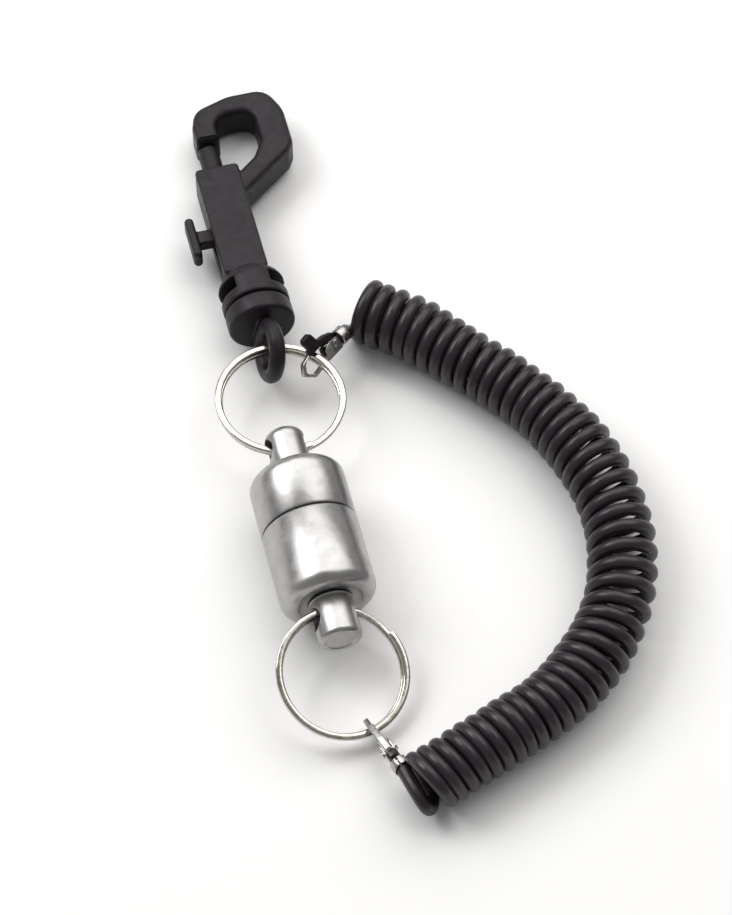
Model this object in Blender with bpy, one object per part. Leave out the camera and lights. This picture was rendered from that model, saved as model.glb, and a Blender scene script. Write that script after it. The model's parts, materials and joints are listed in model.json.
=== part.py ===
"""Magnetic quick release on a coiled lanyard, with a swivel bolt snap. Millimetres become metres by MM.

The chain lies on a table along Y: bolt snap, upper split ring, two-part magnet, lower split ring. The coiled
lanyard arcs round on the +X side and is clipped to both rings.
"""

from math import atan2, cos, pi, radians, sin, sqrt, tan

import bmesh
import bpy
from mathutils import Matrix, Vector

MM = 0.001

# Driving dimensions, in millimetres. Layout coordinates put Y = 0 at the seam between the magnet halves,
# X = 0 on the chain's centre line and Z = 0 on the table. ASSEMBLY_* moves that to the box's base centre.
ASSEMBLY_X = 2.8
ASSEMBLY_Y = 34.65
GAP = 0.3

MAGNET_RADIUS = 10.25
UPPER_LENGTH = 13.6
LOWER_LENGTH = 18.5
SHELL_WALL = 1.7
SHOULDER_RADIUS = 3.0
END_WALL = 2.7
UPPER_POST_RADIUS = 4.35
LOWER_POST_RADIUS = 4.65
POST_HOLE_RADIUS = 2.6
UPPER_HOLE_Y = 20.0
UPPER_POST_END = 24.0
LOWER_HOLE_Y = 21.85
LOWER_POST_END = 27.4
STEM_RADIUS = 2.2

RING_RADIUS = 13.25
RING_WIRE_WIDTH = 1.5
RING_WIRE_HEIGHT = 1.0
RING_PITCH = 1.15
UPPER_RING_CENTRE = (1.7, 32.7, 9.5)
UPPER_RING_TILT = (-1.3, 2.0)
LOWER_RING_CENTRE = (-1.2, -33.1, 7.2)
LOWER_RING_TILT = (17.0, 9.0)

SNAP_X = 2.5
SNAP_Z = 8.17
SNAP_PITCH = -3.65
FLANGE_FACE_Y = 52.6
FLANGE_RADIUS = 7.4
BELL_RADIUS = 7.45
BELL_START = 57.5
HOUSING_START = 65.8
HOUSING_END = 95.9
HOUSING_LEFT = -5.3
HOUSING_RIGHT = 4.6
HOUSING_DEPTH = 9.0
HOOK_DEPTH = 8.4
BOLT_X = -0.6
BOLT_RADIUS = 2.35
BOLT_TRAVEL = 8.0
THUMB_Y = 79.3
EYE_CENTRE_Y = 46.0
EYE_RADIUS = 5.35
EYE_WIRE = 1.8
EYE_LEAN = 13.6

COIL_RADIUS = 7.1
CORD_RADIUS = 1.5
COIL_BULGE = 0.45
COIL_ROUTE = (
    (24.3, 52.4),
    (33.7, 44.55),
    (41.5, 36.3),
    (49.4, 27.0),
    (56.6, 16.2),
    (61.8, 3.2),
    (63.5, -10.4),
    (61.4, -23.3),
    (56.2, -34.1),
    (48.4, -43.0),
    (39.1, -49.4),
    (28.5, -53.8),
    (18.2, -57.7),
    (9.2, -61.1),
)
UPPER_TAIL_ROUTE = ((19.5, 49.8, 6.6), (18.8, 48.7, 7.6), (18.2, 47.3, 8.3), (18.1, 45.9, 8.6))
LOWER_TAIL_ROUTE = ((7.35, -66.0, 7.2), (6.6, -62.5, 7.0), (5.85, -59.0, 6.7), (5.1, -55.45, 6.4))

CLASP_REAR = 9.2
CLASP_WIDTH = 1.4
CLASP_HOOK_HALF = 0.7
LEVER_HALF = 0.6
LEVER_PIN = (7.4, 0.6)
PIN_RADIUS = 0.45
PIN_CLEARANCE = 0.1


def clear_scene():
    for item in list(bpy.data.objects):
        bpy.data.objects.remove(item)


def material(name, colour, roughness, metallic):
    made = bpy.data.materials.new(name)
    made.use_nodes = True
    shader = made.node_tree.nodes["Principled BSDF"]
    shader.inputs["Base Color"].default_value = (*colour, 1.0)
    shader.inputs["Roughness"].default_value = roughness
    shader.inputs["Metallic"].default_value = metallic
    return made


BLACK_PLASTIC = ((0.020, 0.018, 0.020), 0.45, 0.0)
BLACK_CORD = ((0.016, 0.014, 0.017), 0.35, 0.0)
POLISHED_STEEL = ((0.62, 0.61, 0.60), 0.22, 1.0)
NICKEL = ((0.66, 0.64, 0.60), 0.18, 1.0)
SPRING_STEEL = ((0.45, 0.45, 0.46), 0.35, 1.0)
ZINC_STEEL = ((0.52, 0.52, 0.53), 0.45, 1.0)


def empty(name, matrix, parent=None):
    made = bpy.data.objects.new(name, None)
    bpy.context.collection.objects.link(made)
    made.parent = parent
    made.matrix_local = matrix
    return made


def placed(location, rotation=Matrix.Identity(4)):
    """A matrix for a place given in millimetres and a rotation."""
    return Matrix.Translation(Vector(location) * MM) @ rotation


def aimed(location, x_axis, y_hint, roll):
    """A matrix whose X runs along x_axis, whose Y is close to y_hint, turned by roll degrees about X."""
    x_axis = Vector(x_axis).normalized()
    z_axis = x_axis.cross(Vector(y_hint)).normalized()
    y_axis = z_axis.cross(x_axis)
    turned = Matrix((x_axis, y_axis, z_axis)).transposed().to_4x4()
    return placed(location, turned @ Matrix.Rotation(radians(roll), 4, "X"))


def add_object(name, mesh, finish, parent, matrix=Matrix.Identity(4)):
    made = bpy.data.objects.new(name, mesh)
    bpy.context.collection.objects.link(made)
    made.parent = parent
    made.matrix_local = matrix
    mesh.materials.append(material(name + "_finish", *finish))
    return made


def finish_mesh(name, shape, smooth_angle=40):
    bmesh.ops.recalc_face_normals(shape, faces=shape.faces)
    mesh = bpy.data.meshes.new(name)
    shape.to_mesh(mesh)
    shape.free()
    mesh.shade_smooth()
    mesh.set_sharp_from_angle(angle=radians(smooth_angle))
    return mesh


def arc(centre, radius, start, end, steps):
    """Points on an arc, in degrees, both ends included."""
    angles = [radians(start + (end - start) * i / steps) for i in range(steps + 1)]
    return [(centre[0] + radius * cos(a), centre[1] + radius * sin(a)) for a in angles]


def rounded(corners, steps=4):
    """An outline of (x, y, fillet radius) corners, with each corner replaced by an arc."""
    outline = []
    for i, (x, y, radius) in enumerate(corners):
        here = Vector((x, y))
        if radius == 0:
            outline.append((x, y))
            continue
        back = (Vector(corners[i - 1][:2]) - here).normalized()
        ahead = (Vector(corners[(i + 1) % len(corners)][:2]) - here).normalized()
        half = back.angle(ahead) / 2
        centre = here + (back + ahead).normalized() * (radius / sin(half))
        first = here + back * (radius / tan(half)) - centre
        last = here + ahead * (radius / tan(half)) - centre
        start = atan2(first.y, first.x)
        sweep = atan2(last.y, last.x) - start
        sweep -= 2 * pi * round(sweep / (2 * pi))
        for k in range(steps + 1):
            angle = start + sweep * k / steps
            outline.append((centre.x + radius * cos(angle), centre.y + radius * sin(angle)))
    return outline


def turned_mesh(name, profile, segments=48, closed=False):
    """Turn a profile of (radius, y) points about the Y axis. A radius of 0 makes a pole."""
    shape = bmesh.new()
    rows = []
    for radius, y in profile:
        if radius == 0:
            rows.append([shape.verts.new((0, y * MM, 0))])
            continue
        angles = [2 * pi * i / segments for i in range(segments)]
        rows.append([shape.verts.new((radius * MM * cos(a), y * MM, radius * MM * sin(a))) for a in angles])
    pairs = list(zip(rows, rows[1:]))
    if closed:
        pairs.append((rows[-1], rows[0]))
    for low, high in pairs:
        for i in range(segments):
            corners = [low[i % len(low)], low[(i + 1) % len(low)], high[(i + 1) % len(high)], high[i % len(high)]]
            unique = list(dict.fromkeys(corners))
            if len(unique) > 2:
                shape.faces.new(unique)
    return finish_mesh(name, shape)


def prism_mesh(name, outline, low, high, bevel=0.0, upright=False, bevel_steps=2):
    """Extrude an outline along Z from low to high; upright outlines are (x, z) and are extruded along Y."""
    shape = bmesh.new()
    base = [shape.verts.new((x * MM, y * MM, low * MM)) for x, y in outline]
    face = shape.faces.new(base)
    lifted = bmesh.ops.extrude_face_region(shape, geom=[face])["geom"]
    top = [v for v in lifted if isinstance(v, bmesh.types.BMVert)]
    bmesh.ops.translate(shape, verts=top, vec=(0, 0, (high - low) * MM))
    bmesh.ops.recalc_face_normals(shape, faces=shape.faces)
    if bevel:
        rims = [e for e in shape.edges if abs(e.verts[0].co.z - e.verts[1].co.z) < 1e-9]
        bmesh.ops.bevel(shape, geom=rims, offset=bevel * MM, segments=bevel_steps, profile=0.5, affect="EDGES")
    if upright:
        bmesh.ops.rotate(shape, verts=shape.verts, matrix=Matrix.Rotation(pi / 2, 3, "X"))
    return finish_mesh(name, shape)


def cylinder_mesh(name, radius, start, end, segments=24):
    return turned_mesh(name, [(0, start), (radius, start), (radius, end), (0, end)], segments)


def helper(name, mesh, parent, matrix=Matrix.Identity(4)):
    """A shape used only to cut or join another one."""
    made = bpy.data.objects.new(name, mesh)
    bpy.context.collection.objects.link(made)
    made.parent = parent
    made.matrix_local = matrix
    made.hide_render = True
    made.display_type = "WIRE"
    return made


def combine(target, tool, operation):
    step = target.modifiers.new(tool.name, "BOOLEAN")
    step.operation = operation
    step.solver = "EXACT"
    step.object = tool


def smooth_route(points, count):
    """count points at equal steps of length along a Catmull-Rom curve through the points."""
    ends = [points[0] * 2 - points[1], *points, points[-1] * 2 - points[-2]]
    dense = []
    for before, first, second, after in zip(ends, ends[1:], ends[2:], ends[3:]):
        for k in range(24):
            t = k / 24
            dense.append(
                0.5
                * (
                    2 * first
                    + (second - before) * t
                    + (2 * before - 5 * first + 4 * second - after) * t * t
                    + (3 * first - before - 3 * second + after) * t * t * t
                )
            )
    dense.append(points[-1])
    walked = [0.0]
    for first, second in zip(dense, dense[1:]):
        walked.append(walked[-1] + (second - first).length)
    route = []
    at = 0
    for k in range(count):
        goal = walked[-1] * k / (count - 1)
        while at < len(dense) - 2 and walked[at + 1] < goal:
            at += 1
        share = (goal - walked[at]) / (walked[at + 1] - walked[at])
        route.append(dense[at].lerp(dense[at + 1], min(share, 1.0)))
    return route


def tube_object(name, route, radius, finish, parent, resolution=2, widths=None):
    """A capped tube along a poly line of points in millimetres; widths scale its radius at each point."""
    curve = bpy.data.curves.new(name, "CURVE")
    curve.dimensions = "3D"
    curve.bevel_depth = radius * MM
    curve.bevel_resolution = resolution
    curve.use_fill_caps = True
    line = curve.splines.new("POLY")
    line.points.add(len(route) - 1)
    for k, place in enumerate(route):
        line.points[k].co = (*(Vector(place) * MM), 1.0)
        line.points[k].radius = widths[k] if widths else 1.0
    curve.materials.append(material(name + "_finish", *finish))
    made = bpy.data.objects.new(name, curve)
    bpy.context.collection.objects.link(made)
    made.parent = parent
    return made


# ---- magnet halves, turned about Y with the seam at Y = 0; side is +1 for the upper half, -1 for the lower


def mirrored(profile, side):
    return [(radius, y * side) for radius, y in profile]


def shell_profile(length, dish):
    """A steel cup: open at the seam, a rounded shoulder and a hole for the post's stem at the far end."""
    inner = MAGNET_RADIUS - SHELL_WALL
    hole = STEM_RADIUS + GAP
    shoulder = arc((MAGNET_RADIUS - SHOULDER_RADIUS, length - SHOULDER_RADIUS), SHOULDER_RADIUS, 0, 90, 5)
    end = [(7.0, length), (6.7, length - dish), (hole, length - dish)] if dish else [(hole, length)]
    rim = [(inner, length - END_WALL), (inner, GAP / 2), (MAGNET_RADIUS - 0.35, GAP / 2), (MAGNET_RADIUS, 0.5)]
    return [*rim, *shoulder, *end, (hole, length - END_WALL)]


def add_shell(name, length, dish, side, parent):
    mesh = turned_mesh(name, mirrored(shell_profile(length, dish), side), 44, closed=True)
    return add_object(name, mesh, POLISHED_STEEL, parent)


def add_post(name, profile, hole_y, side, parent):
    post = add_object(name, turned_mesh(name, mirrored(profile, side), 32), POLISHED_STEEL, parent)
    drill = cylinder_mesh(name + "_drill", POST_HOLE_RADIUS, -8, 8, 24)
    across = placed((0, hole_y * side, 0), Matrix.Rotation(pi / 2, 4, "Z"))
    combine(post, helper(name + "_drill", drill, parent, across), "DIFFERENCE")
    return post


def upper_post_profile():
    """Threaded stem, concave neck, straight shank and a domed head."""
    base = UPPER_LENGTH + GAP
    foot = UPPER_POST_RADIUS + 1.6
    neck = arc((foot, base + 1.9), 1.6, 270, 180, 4)
    dome = arc((UPPER_POST_RADIUS - 2.2, UPPER_POST_END - 2.2), 2.2, 0, 90, 4)
    return [(0, 7.6), (STEM_RADIUS, 7.6), (STEM_RADIUS, base), (foot, base), *neck, *dome, (0, UPPER_POST_END)]


def lower_post_profile():
    """Threaded stem, straight shank and a rounded end with a shallow round recess."""
    base = LOWER_LENGTH - 0.45 + GAP
    end = arc((LOWER_POST_RADIUS - 0.9, LOWER_POST_END - 0.9), 0.9, 0, 90, 4)
    recess = [(3.3, LOWER_POST_END), (3.1, LOWER_POST_END - 0.3), (0, LOWER_POST_END - 0.3)]
    return [(0, 12.6), (STEM_RADIUS, 12.6), (STEM_RADIUS, base), (LOWER_POST_RADIUS, base), *end, *recess]


def add_nut(name, start, side, parent):
    """A hexagon nut on the post's stem, inside the shell."""
    hexagon = [(4.0 * cos(pi * i / 3), 4.0 * sin(pi * i / 3)) for i in range(6)]
    mesh = prism_mesh(name, hexagon, start, start + 2.5, 0.3, bevel_steps=1)
    turned = Matrix.Rotation(-side * pi / 2, 4, "X")
    nut = add_object(name, mesh, ZINC_STEEL, parent, turned)
    bore = cylinder_mesh(name + "_bore", STEM_RADIUS + GAP, 0, 20)
    combine(nut, helper(name + "_bore", bore, parent, Matrix.Rotation(0 if side > 0 else pi, 4, "X")), "DIFFERENCE")
    return nut


def add_disc(name, radius, start, end, side, finish, parent):
    edge = 0.3
    profile = [(0, start), (radius - edge, start), (radius, start + edge), (radius, end - edge), (radius - edge, end)]
    mesh = turned_mesh(name, mirrored([*profile, (0, end)], side), 28)
    return add_object(name, mesh, finish, parent)


def add_magnet_half(prefix, length, dish, post_profile, hole_y, magnet_length, side, parent):
    radius = MAGNET_RADIUS - SHELL_WALL - GAP
    plate = 0.4 + magnet_length + GAP
    add_shell(prefix + "_shell", length, dish, side, parent)
    add_post(prefix + "_post", post_profile, hole_y, side, parent)
    add_nut(prefix + "_post_nut", length - END_WALL - 2.5 - GAP, side, parent)
    add_disc(prefix + "_magnet", radius, 0.4, 0.4 + magnet_length, side, NICKEL, parent)
    add_disc(prefix + "_back_plate", radius, plate, plate + 1.4, side, ZINC_STEEL, parent)


# ---- split rings


def ring_turn(tilt):
    """The rotation of a ring that rises towards +Y by the first angle and falls towards +X by the second."""
    return Matrix.Rotation(radians(tilt[0]), 4, "X") @ Matrix.Rotation(radians(tilt[1]), 4, "Y")


def add_split_ring(name, centre, tilt, start, parent):
    """Two turns of flat-sided wire, one on the other, joined by a sloping step; start is the wire end's angle."""
    half_width = RING_WIRE_WIDTH / 2
    half_height = RING_WIRE_HEIGHT / 2
    corner = 0.3
    section = [
        (half_width, half_height - corner),
        (half_width - corner, half_height),
        (corner - half_width, half_height),
        (-half_width, half_height - corner),
        (-half_width, corner - half_height),
        (corner - half_width, -half_height),
        (half_width - corner, -half_height),
        (half_width, corner - half_height),
    ]
    shape = bmesh.new()
    rows = []
    steps = 54
    for k in range(steps + 1):
        turned = 34 + (686 - 34) * k / steps
        ramp = min(max((turned - 330) / 60, 0), 1)
        rise = RING_PITCH * (ramp * ramp * (3 - 2 * ramp) - 0.5)
        angle = radians(turned + start)
        row = []
        for out, up in section:
            radius = RING_RADIUS + out
            row.append(shape.verts.new((radius * MM * cos(angle), radius * MM * sin(angle), (rise + up) * MM)))
        rows.append(row)
    for low, high in zip(rows, rows[1:]):
        for i in range(8):
            shape.faces.new([low[i], low[(i + 1) % 8], high[(i + 1) % 8], high[i]])
    shape.faces.new(rows[0])
    shape.faces.new(rows[-1])
    return add_object(name, finish_mesh(name, shape), NICKEL, parent, placed(centre, ring_turn(tilt)))


# ---- bolt snap, in its own frame: Y along the snap's axis, Y = 0 at the swivel flange's face


def snap_y(layout_y):
    return layout_y - FLANGE_FACE_Y


def hook_outline():
    corners = [
        (3.4, 86.2, 0),
        (18.2, 98.4, 3.0),
        (18.25, 109.0, 8.0),
        (14.8, 116.0, 4.0),
        (6.5, 115.9, 12.0),
        (-2.2, 113.3, 2.0),
        (-2.95, 109.5, 1.0),
        (-2.95, 105.4, 0.4),
        (2.5, 105.4, 0.3),
        (2.3, 110.4, 3.0),
        (11.3, 110.6, 2.6),
        (11.2, 100.9, 2.6),
        (3.4, 93.9, 0),
    ]
    return rounded([(x, snap_y(y), radius) for x, y, radius in corners])


def bell_profile():
    """The round socket that holds the swivel's head, and the shoulder that runs into the housing."""
    crown = arc((BELL_RADIUS - 3.0, snap_y(63.2)), 3.0, 0, 60, 4)
    rim = snap_y(BELL_START)
    return [(0, rim), (BELL_RADIUS - 0.5, rim), (BELL_RADIUS, rim + 0.5), *crown, (3.6, snap_y(68.4)), (0, snap_y(68.4))]


def add_snap_body(parent):
    deep = HOUSING_DEPTH / 2
    ends = (HOUSING_START, HOUSING_END)
    box = [(HOUSING_LEFT, ends[0]), (HOUSING_RIGHT, ends[0]), (HOUSING_RIGHT, ends[1]), (HOUSING_LEFT, ends[1])]
    housing = rounded([(x, snap_y(y), 0.8) for x, y in box], 3)
    body = add_object("snap_body", prism_mesh("snap_body", housing, -deep, deep, 0.8), BLACK_PLASTIC, parent)
    hook = prism_mesh("hook_shape", hook_outline(), -HOOK_DEPTH / 2, HOOK_DEPTH / 2, 1.3)
    combine(body, helper("hook_shape", hook, parent), "UNION")
    combine(body, helper("bell_shape", turned_mesh("bell_shape", bell_profile(), 32), parent), "UNION")
    bore = cylinder_mesh("bolt_bore", BOLT_RADIUS + 0.25, snap_y(65.2), snap_y(HOUSING_END + 3), 20)
    combine(body, helper("bolt_bore", bore, parent, placed((BOLT_X, 0, 0))), "DIFFERENCE")
    slot_start = snap_y(THUMB_Y - BOLT_TRAVEL - 2.2)
    slot_end = snap_y(81.5)
    slot = [(-7, slot_start), (BOLT_X, slot_start), (BOLT_X, slot_end), (-7, slot_end)]
    slot = prism_mesh("thumb_slot", slot, -1.8, 1.8)
    combine(body, helper("thumb_slot", slot, parent), "DIFFERENCE")
    room = [(0, 63.4), (5.0, 63.4), (5.0, 60.0), (2.9, 60.0), (2.9, 56.5), (0, 56.5)]
    room = [(radius, snap_y(y)) for radius, y in room]
    combine(body, helper("swivel_room", turned_mesh("swivel_room", room, 24), parent), "DIFFERENCE")
    window = [(-9, snap_y(60.1)), (9, snap_y(60.1)), (9, snap_y(63.2)), (-9, snap_y(63.2))]
    window = prism_mesh("bell_window", window, -3.1, 6.4)
    combine(body, helper("bell_window", window, parent), "DIFFERENCE")
    return body


def add_bolt(parent):
    """The sliding bolt that closes the hook, with a socket across it for the thumb piece's stem."""
    tip = snap_y(105.1)
    tail = snap_y(THUMB_Y - 2.4)
    crown = arc((BOLT_RADIUS - 0.7, tip - 0.7), 0.7, 0, 90, 3)
    profile = [(0, tail), (BOLT_RADIUS - 0.3, tail), (BOLT_RADIUS, tail + 0.3), *crown, (0, tip)]
    bolt = add_object("snap_bolt", turned_mesh("snap_bolt", profile, 20), BLACK_PLASTIC, parent)
    low = snap_y(THUMB_Y - 1.6)
    high = snap_y(THUMB_Y + 1.6)
    socket = prism_mesh("stem_socket", [(-4, low), (0.3, low), (0.3, high), (-4, high)], -1.2, 1.2)
    combine(bolt, helper("stem_socket", socket, parent), "DIFFERENCE")
    return bolt


def add_thumb_piece(parent):
    """A T: a square stem in the bolt's socket and a round-ended bar that the thumb pulls."""
    centre = snap_y(THUMB_Y)
    stem = [(0.0, centre - 1.3), (0.0, centre + 1.3), (-2.7, centre + 1.3), (-2.7, centre - 1.3)]
    piece = add_object("thumb_piece", prism_mesh("thumb_piece", stem, -0.9, 0.9), BLACK_PLASTIC, parent)
    neck = [(-2.65, centre - 1.85), (-2.65, centre + 1.85), (-8.8, centre + 1.85), (-8.8, centre - 1.85)]
    combine(piece, helper("thumb_neck", prism_mesh("thumb_neck", neck, -1.55, 1.55, 0.3), parent), "UNION")
    bar = [(-7.75, centre - 5.5), (-7.75, centre + 5.5), (-9.8, centre + 5.5), (-9.8, centre - 5.5)]
    bar = prism_mesh("thumb_bar", rounded([(x, y, 0.9) for x, y in bar], 4), -2.3, 2.3, 0.6)
    combine(piece, helper("thumb_bar", bar, parent), "UNION")
    return piece


def add_bolt_spring(parent):
    """The compression spring behind the bolt, at its length with the hook closed."""
    start = snap_y(65.8)
    end = snap_y(THUMB_Y - 3.0)
    turns = 5
    steps = 10 * turns
    route = []
    for k in range(steps + 1):
        angle = 2 * pi * turns * k / steps
        share = k / steps
        settled = min(max((share * turns - 0.8) / (turns - 1.6), 0), 1) * 0.86 + 0.14 * share
        route.append((1.6 * cos(angle), start + (end - start) * settled, 1.6 * sin(angle)))
    return tube_object("bolt_spring", route, 0.24, SPRING_STEEL, parent, 1)


def add_swivel_eye(parent):
    """Head and neck inside the bell, flange outside it, and a round eye leaning a little off upright."""
    rim = arc((FLANGE_RADIUS - 0.7, 0.7), 0.7, 270, 360, 3)
    neck = [(2.6, 4.6), (2.6, snap_y(60.3)), (4.6, snap_y(60.3)), (4.6, snap_y(62.8)), (0, snap_y(62.8))]
    profile = [(0, 0), *rim, (FLANGE_RADIUS, 4.0), (FLANGE_RADIUS - 0.6, 4.6), *neck]
    eye = add_object("swivel_eye", turned_mesh("swivel_eye", profile, 32), BLACK_PLASTIC, parent)
    loop = [(EYE_RADIUS + x, y) for x, y in arc((0, 0), EYE_WIRE, 0, 315, 7)]
    leaned = Matrix.Rotation(radians(EYE_LEAN), 4, "Y") @ Matrix.Rotation(pi / 2, 4, "Z")
    centre = placed((0, snap_y(EYE_CENTRE_Y), 0), leaned)
    combine(eye, helper("eye_loop", turned_mesh("eye_loop", loop, 28, closed=True), parent, centre), "UNION")
    root = [(-2.2, -1.2), (2.2, -1.2), (2.2, 0.6), (-2.2, 0.6)]
    root = prism_mesh("eye_root", root, -1.5, 1.5, 0.4)
    foot = Matrix.Rotation(radians(EYE_LEAN) + pi / 2, 4, "Y")
    combine(eye, helper("eye_root", root, parent, foot), "UNION")
    return eye


# ---- lanyard: the coil's outer shape, its two straight ends, and a clasp on each


def coil_bend(share):
    """How far into the bend a place along the coil is, from 0 outside it to 1: the turns bulge there."""
    rise = min(max((share - 0.28) / 0.1, 0), 1)
    fall = min(max((0.78 - share) / 0.1, 0), 1)
    return min(rise, fall)


def add_lanyard(parent):
    route = smooth_route([Vector((x, y, COIL_RADIUS + 0.02)) for x, y in COIL_ROUTE], 30)
    widths = []
    for k, point in enumerate(route):
        bulge = COIL_BULGE * coil_bend(k / (len(route) - 1))
        point.z += bulge
        widths.append(1 + bulge / COIL_RADIUS)
    tube_object("lanyard_coil", route, COIL_RADIUS, BLACK_CORD, parent, 4, widths)
    upper = [Vector(point) for point in UPPER_TAIL_ROUTE]
    lower = [Vector(point) for point in LOWER_TAIL_ROUTE]
    tube_object("upper_cord_end", smooth_route(upper, 6), CORD_RADIUS, BLACK_CORD, parent)
    tube_object("lower_cord_end", smooth_route(lower, 6), CORD_RADIUS, BLACK_CORD, parent)


def claw_outline():
    corners = [
        (4.4, -2.7, 0),
        (-0.6, -2.7, 1.2),
        (-3.3, -0.3, 0.6),
        (-1.6, 2.3, 0.9),
        (0.5, 2.75, 0),
        (0.5, 2.05, 0),
        (-1.1, 1.8, 0.5),
        (-1.9, -0.2, 0.5),
        (-0.5, -1.95, 0.8),
        (4.4, -1.95, 0),
    ]
    return rounded(corners, 3)


def plate_outline(barb):
    outline = [(4.1, -2.7), (4.4, 0.9), (6.2, 1.8), (8.4, 1.6), (CLASP_REAR, 0.6), (CLASP_REAR, -1.7)]
    tail = [(9.7, -3.7), (9.2, -3.9), (8.0, -2.7)] if barb else [(8.4, -2.7)]
    return [*outline, *tail]


def broad_lever_outline():
    """Nose, knob, the thumb lobe, and the hub round the pin."""
    corners = [
        (0.8, 2.08, 0.1),
        (0.8, 2.85, 0.2),
        (1.3, 3.2, 0.3),
        (0.7, 6.1, 0.8),
        (3.6, 6.3, 0.8),
        (4.6, 3.5, 0.8),
        (8.9, 2.6, 0.7),
        (8.7, 0.2, 0.7),
        (7.7, -0.6, 0.5),
        (6.6, -0.5, 0.5),
        (5.6, 2.08, 0.4),
    ]
    return rounded(corners, 3)


def slim_lever_outline():
    corners = [
        (0.8, 2.08, 0.1),
        (0.8, 2.75, 0.2),
        (5.4, 3.0, 1.0),
        (8.2, 2.5, 0.7),
        (8.6, 0.2, 0.7),
        (7.7, -0.6, 0.5),
        (6.6, -0.5, 0.5),
        (5.6, 2.08, 0.4),
    ]
    return rounded(corners, 3)


def add_clasp_frame(name, barb, parent):
    """A stamped hook, a channel of two side plates for the lever, and a strip that lies along the cord."""
    web = [(3.9, -2.7), (8.4, -2.7), (8.4, -2.2), (3.9, -2.2)]
    frame_mesh = prism_mesh(name, web, -CLASP_WIDTH, CLASP_WIDTH, upright=True)
    frame = add_object(name, frame_mesh, ZINC_STEEL, parent)
    claw = prism_mesh(name + "_claw", claw_outline(), -CLASP_HOOK_HALF, CLASP_HOOK_HALF, upright=True)
    combine(frame, helper(name + "_claw", claw, parent), "UNION")
    for side, label in ((1, "_left"), (-1, "_right")):
        low, high = sorted((side * 0.95, side * CLASP_WIDTH))
        plate = prism_mesh(name + label, plate_outline(barb and side < 0), low, high, upright=True)
        combine(frame, helper(name + label, plate, parent), "UNION")
    strip = prism_mesh(name + "_strip", [(8.0, 1.2), (9.9, 1.35), (9.9, 1.75), (7.8, 1.65)], 0.92, 1.3, upright=True)
    combine(frame, helper(name + "_strip", strip, parent), "UNION")
    pin = cylinder_mesh(name + "_bore", PIN_RADIUS + PIN_CLEARANCE, -3, 3, 16)
    place = placed((LEVER_PIN[0], 0, LEVER_PIN[1]))
    combine(frame, helper(name + "_bore", pin, parent, place), "DIFFERENCE")
    return frame


def add_clasp_lever(name, outline, parent):
    """The gate that closes the claw; its origin is on the pin."""
    outline = [(x - LEVER_PIN[0], z - LEVER_PIN[1]) for x, z in outline]
    mesh = prism_mesh(name, outline, -LEVER_HALF, LEVER_HALF, 0.15, upright=True, bevel_steps=1)
    lever = add_object(name, mesh, BLACK_PLASTIC, parent)
    bore = cylinder_mesh(name + "_bore", PIN_RADIUS + PIN_CLEARANCE, -3, 3, 16)
    combine(lever, helper(name + "_bore", bore, parent), "DIFFERENCE")
    return lever


def add_clasp_pin(name, parent):
    """A rivet with a head outside each side plate."""
    head = PIN_RADIUS + 0.35
    inner = CLASP_WIDTH + 0.1
    outer = inner + 0.3
    half = [(PIN_RADIUS, inner), (head, inner), (head, outer - 0.1), (head - 0.15, outer), (0, outer)]
    profile = [(radius, -y) for radius, y in reversed(half)] + half
    return add_object(name, turned_mesh(name, profile, 16), ZINC_STEEL, parent)


def add_lever_spring(name, parent):
    """A torsion spring beside the lever's hub: turns round the pin, one leg up the lever, one on the web."""
    route = [(-2.6, -0.78, 1.0), (-1.6, -0.78, 0.85)]
    turns = 1.75
    for k in range(15):
        angle = pi / 2 + 2 * pi * turns * k / 14
        route.append((0.68 * cos(angle), -0.78 + 0.04 * k / 14, 0.68 * sin(angle)))
    route.append((0.9, -0.74, -1.6))
    route.append((0.5, -0.74, -2.5))
    return tube_object(name, route, 0.07, SPRING_STEEL, parent, 1)


def add_clasp(prefix, matrix, lever_outline, barb, assembly):
    clasp = empty(prefix + "_clasp_axes", matrix, assembly)
    pivot = empty(prefix + "_lever_axis", placed((LEVER_PIN[0], 0, LEVER_PIN[1])), clasp)
    add_clasp_frame(prefix + "_clasp_frame", barb, clasp)
    add_clasp_lever(prefix + "_clasp_lever", lever_outline, pivot)
    add_clasp_pin(prefix + "_clasp_pin", pivot)
    add_lever_spring(prefix + "_lever_spring", pivot)


def clasp_on_ring(centre, tilt, angle, wire_x, towards, roll):
    """Where a clasp sits: its claw round the ring's wire at angle, its rear pointing at the cord's end."""
    across = Vector((cos(radians(angle)), sin(radians(angle)), 0))
    tangent = Vector((-sin(radians(angle)), cos(radians(angle)), 0))
    turn = ring_turn(tilt).to_3x3()
    wire = Vector(centre) + turn @ (across * RING_RADIUS)
    direction = (Vector(towards) - wire).normalized()
    return aimed(wire - direction * wire_x, direction, turn @ tangent, roll)


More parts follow.
